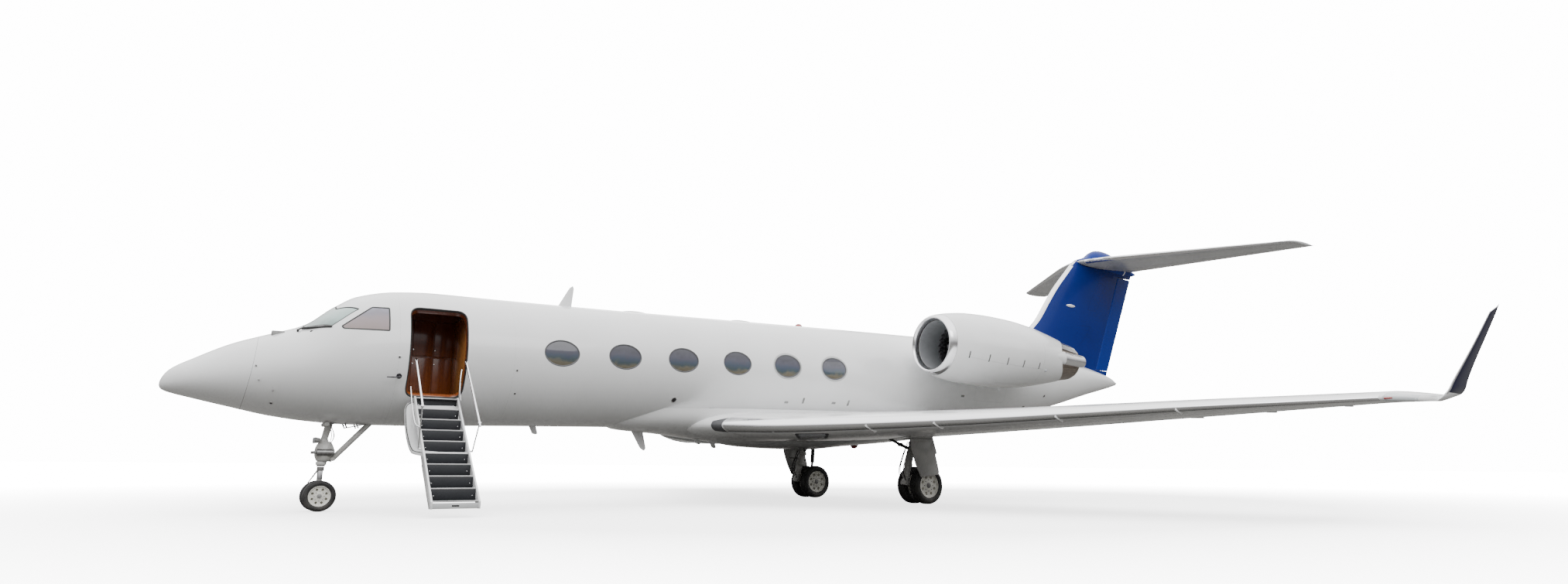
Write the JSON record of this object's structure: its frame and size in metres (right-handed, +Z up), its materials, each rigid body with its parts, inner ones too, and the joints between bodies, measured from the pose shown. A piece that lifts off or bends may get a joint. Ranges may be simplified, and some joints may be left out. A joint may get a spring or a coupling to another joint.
{
  "type": "business jet",
  "caption": "Full-size twin-engined long-range business jet on its gear, with a T-tail, winglets, oval cabin windows and an airstair let down beside the cockpit.",
  "frame": {"origin": "on the ground under the middle of the aircraft's box", "axes": "+X aft along the fuselage, +Y to starboard, +Z up"},
  "size_m": [26.914, 23.7222, 7.4911],
  "materials": {
    "white_paint": "gloss white paint",
    "blue_paint": "gloss royal blue paint",
    "navy_paint": "gloss navy paint",
    "grey_paint": "satin light grey paint",
    "polished_metal": "polished",
    "gear_metal": "satin grey paint",
    "engine_metal": "dark satin",
    "tyre": "matte black rubber",
    "glass": "tinted",
    "wood": "varnished veneer",
    "carpet": "cut pile",
    "leather": "satin",
    "dark_plastic": "matte",
    "stair_rubber": "ribbed black rubber"
  },
  "bodies": {
    "airframe": {"aft_fuselage": "white_paint", "belly_antenna": "white_paint", "belly_fairing": "white_paint", "cabin_floor": "carpet", "cabin_partition": "wood", "cabin_shell": "white_paint", "cabin_windows_left": "glass", "cabin_windows_right": "glass", "cockpit_partition": "wood", "cockpit_shell": "white_paint", "crew_seats": "leather", "door_panel": "white_paint", "engine_left": "engine_metal", "engine_right": "engine_metal", "entry_cabinet": "wood", "entry_shell": "white_paint", "fin": "blue_paint", "flap_left": "white_paint", "flap_right": "white_paint", "instrument_panel": "dark_plastic", "intake_lip_left": "polished_metal", "intake_lip_right": "polished_metal", "lower_stair": "stair_rubber", "main_gear_door_left": "white_paint", "main_gear_door_right": "white_paint", "main_gear_leg_left": "gear_metal", "main_gear_leg_right": "gear_metal", "nacelle_left": "white_paint", "nacelle_right": "white_paint", "nose_gear_leg": "gear_metal", "nozzle_left": "polished_metal", "nozzle_right": "polished_metal", "pylon_left": "white_paint", "pylon_right": "white_paint", "radome": "white_paint", "side_window_left": "glass", "side_window_right": "glass", "stabilizer": "grey_paint", "tail_bullet": "blue_paint", "tail_cone": "white_paint", "top_antenna": "white_paint", "upper_stair": "stair_rubber", "windscreen_left": "glass", "windscreen_right": "glass", "wing_left": "white_paint", "wing_right": "white_paint", "winglet_left": "navy_paint", "winglet_right": "navy_paint"},
    "nose_steering": {"nose_fork": "gear_metal"},
    "nose_wheel_pair": {"nose_wheels": "tyre"},
    "main_wheel_pair_left": {"main_wheels_left": "tyre"},
    "main_wheel_pair_right": {"main_wheels_right": "tyre"},
    "fan_rotor_left": {"fan_left": "engine_metal"},
    "fan_rotor_right": {"fan_right": "engine_metal"},
    "rudder_body": {"rudder": "blue_paint"},
    "elevator_body_left": {"elevator_left": "grey_paint"},
    "elevator_body_right": {"elevator_right": "grey_paint"},
    "aileron_body_left": {"aileron_left": "white_paint"},
    "aileron_body_right": {"aileron_right": "white_paint"}
  },
  "joints": [
    {"name": "nose_steering_turn", "type": "hinge", "parent": "airframe", "child": "nose_steering", "pos_m": [-11.06, 0, 0.5], "axis": [0, 0, 1], "range_deg": [-80, 80]},
    {"name": "nose_wheels_spin", "type": "hinge", "parent": "nose_steering", "child": "nose_wheel_pair", "pos_m": [-11.06, 0, 0.25384], "axis": [0, 1, 0], "continuous": true},
    {"name": "main_wheels_left_spin", "type": "hinge", "parent": "airframe", "child": "main_wheel_pair_left", "pos_m": [0.57, -2.085, 0.40001], "axis": [0, 1, 0], "continuous": true},
    {"name": "main_wheels_right_spin", "type": "hinge", "parent": "airframe", "child": "main_wheel_pair_right", "pos_m": [0.57, 2.085, 0.40001], "axis": [0, 1, 0], "continuous": true},
    {"name": "fan_left_spin", "type": "hinge", "parent": "airframe", "child": "fan_rotor_left", "pos_m": [1.82978, -2.1, 3.55545], "axis": [-0.9997, 0, 0.023], "continuous": true},
    {"name": "fan_right_spin", "type": "hinge", "parent": "airframe", "child": "fan_rotor_right", "pos_m": [1.82978, 2.1, 3.55545], "axis": [-0.9997, 0, 0.023], "continuous": true},
    {"name": "rudder_turn", "type": "hinge", "parent": "airframe", "child": "rudder_body", "pos_m": [9.7064, 0, 3.7], "axis": [0.405, 0, 0.9143], "range_deg": [-22, 22]},
    {"name": "elevator_left_turn", "type": "hinge", "parent": "airframe", "child": "elevator_body_left", "pos_m": [10.9732, -0.445, 6.9946], "axis": [0.4345, -0.9002, 0.0295], "range_deg": [-24, 13]},
    {"name": "elevator_right_turn", "type": "hinge", "parent": "airframe", "child": "elevator_body_right", "pos_m": [10.9732, 0.445, 6.9946], "axis": [-0.4345, -0.9002, -0.0295], "range_deg": [-24, 13]},
    {"name": "aileron_left_turn", "type": "hinge", "parent": "airframe", "child": "aileron_body_left", "pos_m": [1.9934, -7.634, 1.7726], "axis": [0.3154, -0.9478, 0.0462], "range_deg": [-12, 12]},
    {"name": "aileron_right_turn", "type": "hinge", "parent": "airframe", "child": "aileron_body_right", "pos_m": [1.9934, 7.634, 1.7726], "axis": [-0.3154, -0.9478, -0.0462], "range_deg": [-12, 12]}
  ],
  "couplings": [
    {"joint": "elevator_right_turn", "follows": "elevator_left_turn", "ratio": 1},
    {"joint": "aileron_right_turn", "follows": "aileron_left_turn", "ratio": -1}
  ]
}
